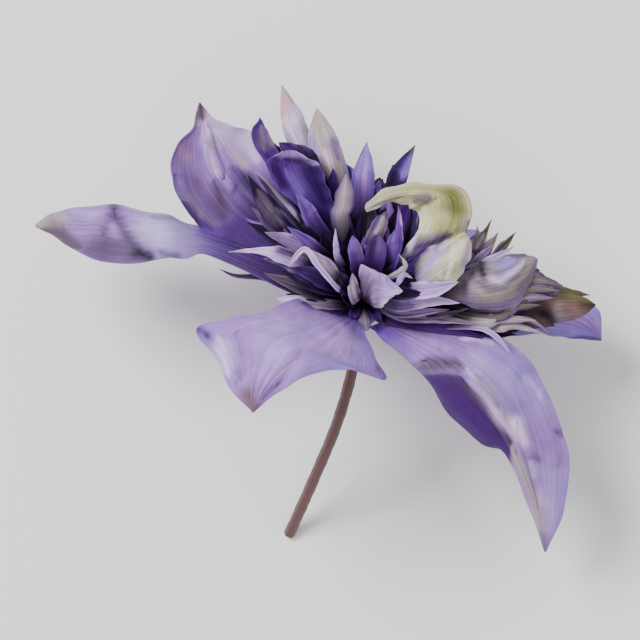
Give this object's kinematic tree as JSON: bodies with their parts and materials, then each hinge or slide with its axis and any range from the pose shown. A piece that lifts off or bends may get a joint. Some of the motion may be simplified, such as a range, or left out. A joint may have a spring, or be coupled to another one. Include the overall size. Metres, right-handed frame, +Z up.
{
  "type": "clematis flower",
  "caption": "Picked double clematis flower lying on its side: broad pointed outer petals round a dense head of narrow inner petals, on a short curved bare stalk.",
  "frame": {"origin": "on the surface that the flower lies on, under the middle of its bounding box", "axes": "+Z up from the surface, +X across the bloom to the right as seen from above, +Y from the stalk towards the bloom"},
  "size_m": [0.1268, 0.1046, 0.0768],
  "materials": {
    "stalk": "satin",
    "outer_petal": "matte",
    "inner_petal": "matte"
  },
  "bodies": {
    "root": {"stalk": "stalk", "outer_petal_1": "outer_petal", "outer_petal_2": "outer_petal", "outer_petal_3": "outer_petal", "outer_petal_4": "outer_petal", "outer_petal_5": "outer_petal", "outer_petal_6": "outer_petal", "outer_petal_7": "outer_petal", "outer_petal_8": "outer_petal", "inner_petals": "inner_petal"}
  },
  "joints": []
}
